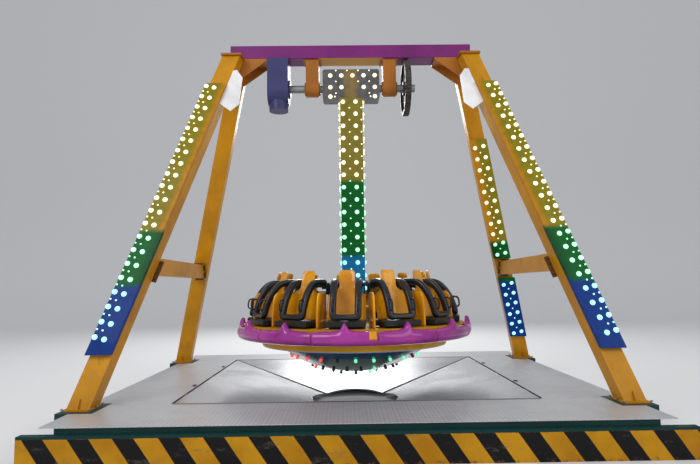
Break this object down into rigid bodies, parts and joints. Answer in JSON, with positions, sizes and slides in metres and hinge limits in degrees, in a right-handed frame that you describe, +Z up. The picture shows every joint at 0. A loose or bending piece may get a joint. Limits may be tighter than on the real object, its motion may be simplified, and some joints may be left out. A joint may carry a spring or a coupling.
{
  "type": "pendulum ride",
  "caption": "Fairground pendulum ride: a swinging arm with a turning ring of outward-facing seats, hung from an A-frame over a low platform with a pit.",
  "frame": {"origin": "on the floor below the axis of the hanging arm, at the centre of the footprint", "axes": "+X to the right along the swing axis, -Y towards the public front, +Z up"},
  "size_m": [6.64, 5.72, 5.45],
  "materials": {
    "deck_plate": "ribbed and scuffed",
    "frame_green": "dark green paint",
    "hazard_paint": "yellow and black stripes",
    "leg_yellow": "gloss yellow-orange paint",
    "crown_paint": "gloss magenta paint",
    "head_orange": "orange-brown paint",
    "lamp_box": "coloured lamp cover with bulbs",
    "drive_blue": "dark blue paint",
    "steel": "turned steel",
    "wheel_iron": "dark cast iron",
    "seat_shell": "glossy moulded shell",
    "seat_black": "black moulded base",
    "skirt_shell": "glossy magenta moulding",
    "harness_foam": "black skinned foam",
    "dome_green": "dark green paint",
    "cover_white": "white paint",
    "rim_yellow": "yellow paint"
  },
  "bodies": {
    "fixed_frame": {"base_frame": "frame_green", "flap_hinge_pins": "steel", "front_hazard_beam": "hazard_paint", "deck_front": "deck_plate", "deck_back": "deck_plate", "deck_left": "deck_plate", "deck_right": "deck_plate", "crown_beam": "crown_paint", "bearing_hangers": "head_orange", "swing_drive": "drive_blue", "head_left": "head_orange", "head_right": "head_orange", "head_cover_left": "cover_white", "head_cover_right": "cover_white", "lamp_box_back_right": "lamp_box", "lamp_box_front_left": "lamp_box", "lamp_box_front_right": "lamp_box", "leg_front_left": "leg_yellow", "leg_back_left": "leg_yellow", "leg_tie_left": "leg_yellow", "leg_front_right": "leg_yellow", "leg_back_right": "leg_yellow", "leg_tie_right": "leg_yellow"},
    "swing_arm": {"swing_shaft": "steel", "drive_wheel": "wheel_iron", "arm_head": "leg_yellow", "arm_tube": "leg_yellow", "arm_lamp_sleeve": "lamp_box"},
    "seat_ring": {"spin_hub": "steel", "ring_floor": "rim_yellow", "ring_rim": "rim_yellow", "dome": "dome_green", "skirt_panels": "skirt_shell", "seat_pans": "seat_black", "seat_backs": "seat_shell", "seat_posts": "frame_green", "seat_dividers": "seat_shell", "seam_strip": "seat_shell"},
    "left_flap": {"flap_left": "deck_plate"},
    "right_flap": {"flap_right": "deck_plate"},
    "front_flap": {"flap_front": "deck_plate"},
    "back_flap": {"flap_back": "deck_plate"},
    "rider_bar_01": {"harness_01": "harness_foam"},
    "rider_bar_02": {"harness_02": "harness_foam"},
    "rider_bar_03": {"harness_03": "harness_foam"},
    "rider_bar_04": {"harness_04": "harness_foam"},
    "rider_bar_05": {"harness_05": "harness_foam"},
    "rider_bar_06": {"harness_06": "harness_foam"},
    "rider_bar_07": {"harness_07": "harness_foam"},
    "rider_bar_08": {"harness_08": "harness_foam"},
    "rider_bar_09": {"harness_09": "harness_foam"},
    "rider_bar_10": {"harness_10": "harness_foam"},
    "rider_bar_11": {"harness_11": "harness_foam"},
    "rider_bar_12": {"harness_12": "harness_foam"},
    "rider_bar_13": {"harness_13": "harness_foam"}
  },
  "joints": [
    {"name": "arm_swing", "type": "hinge", "parent": "fixed_frame", "child": "swing_arm", "pos_m": [0, 0, 4.8], "axis": [1, 0, 0], "range_deg": [-70, 70]},
    {"name": "ring_spin", "type": "hinge", "parent": "swing_arm", "child": "seat_ring", "pos_m": [0, 0, 1.28], "axis": [0, 0, 1], "continuous": true},
    {"name": "left_flap_hinge", "type": "hinge", "parent": "fixed_frame", "child": "left_flap", "pos_m": [-2.18, 0, 0.328], "axis": [0, -1, 0], "range_deg": [0, 10.87]},
    {"name": "right_flap_hinge", "type": "hinge", "parent": "fixed_frame", "child": "right_flap", "pos_m": [2.18, 0, 0.328], "axis": [0, 1, 0], "range_deg": [0, 10.87]},
    {"name": "front_flap_hinge", "type": "hinge", "parent": "fixed_frame", "child": "front_flap", "pos_m": [0, -1.75, 0.328], "axis": [1, 0, 0], "range_deg": [0, 13.74]},
    {"name": "back_flap_hinge", "type": "hinge", "parent": "fixed_frame", "child": "back_flap", "pos_m": [0, 2.1, 0.328], "axis": [-1, 0, 0], "range_deg": [0, 11.27]},
    {"name": "harness_01_hinge", "type": "hinge", "parent": "seat_ring", "child": "rider_bar_01", "pos_m": [-0.08716, -0.9962, 1.73], "axis": [-0.9962, 0.0872, 0], "range_deg": [0, 65]},
    {"name": "harness_02_hinge", "type": "hinge", "parent": "seat_ring", "child": "rider_bar_02", "pos_m": [0.38578, -0.92259, 1.73], "axis": [-0.9226, -0.3858, 0], "range_deg": [0, 65]},
    {"name": "harness_03_hinge", "type": "hinge", "parent": "seat_ring", "child": "rider_bar_03", "pos_m": [0.77034, -0.63763, 1.73], "axis": [-0.6376, -0.7703, 0], "range_deg": [0, 65]},
    {"name": "harness_04_hinge", "type": "hinge", "parent": "seat_ring", "child": "rider_bar_04", "pos_m": [0.97843, -0.2066, 1.73], "axis": [-0.2066, -0.9784, 0], "range_deg": [0, 65]},
    {"name": "harness_05_hinge", "type": "hinge", "parent": "seat_ring", "child": "rider_bar_05", "pos_m": [0.96236, 0.27176, 1.73], "axis": [0.2718, -0.9624, 0], "range_deg": [0, 65]},
    {"name": "harness_06_hinge", "type": "hinge", "parent": "seat_ring", "child": "rider_bar_06", "pos_m": [0.72584, 0.68787, 1.73], "axis": [0.6879, -0.7258, 0], "range_deg": [0, 65]},
    {"name": "harness_07_hinge", "type": "hinge", "parent": "seat_ring", "child": "rider_bar_07", "pos_m": [0.32303, 0.94639, 1.73], "axis": [0.9464, -0.323, 0], "range_deg": [0, 65]},
    {"name": "harness_08_hinge", "type": "hinge", "parent": "seat_ring", "child": "rider_bar_08", "pos_m": [-0.15378, 0.98811, 1.73], "axis": [0.9881, 0.1538, 0], "range_deg": [0, 65]},
    {"name": "harness_09_hinge", "type": "hinge", "parent": "seat_ring", "child": "rider_bar_09", "pos_m": [-0.59536, 0.80346, 1.73], "axis": [0.8035, 0.5954, 0], "range_deg": [0, 65]},
    {"name": "harness_10_hinge", "type": "hinge", "parent": "seat_ring", "child": "rider_bar_10", "pos_m": [-0.90055, 0.43475, 1.73], "axis": [0.4347, 0.9006, 0], "range_deg": [0, 65]},
    {"name": "harness_11_hinge", "type": "hinge", "parent": "seat_ring", "child": "rider_bar_11", "pos_m": [-0.99944, -0.03356, 1.73], "axis": [-0.0336, 0.9994, 0], "range_deg": [0, 65]},
    {"name": "harness_12_hinge", "type": "hinge", "parent": "seat_ring", "child": "rider_bar_12", "pos_m": [-0.86936, -0.49417, 1.73], "axis": [-0.4942, 0.8694, 0], "range_deg": [0, 65]},
    {"name": "harness_13_hinge", "type": "hinge", "parent": "seat_ring", "child": "rider_bar_13", "pos_m": [-0.54013, -0.84158, 1.73], "axis": [-0.8416, 0.5401, 0], "range_deg": [0, 65]}
  ]
}
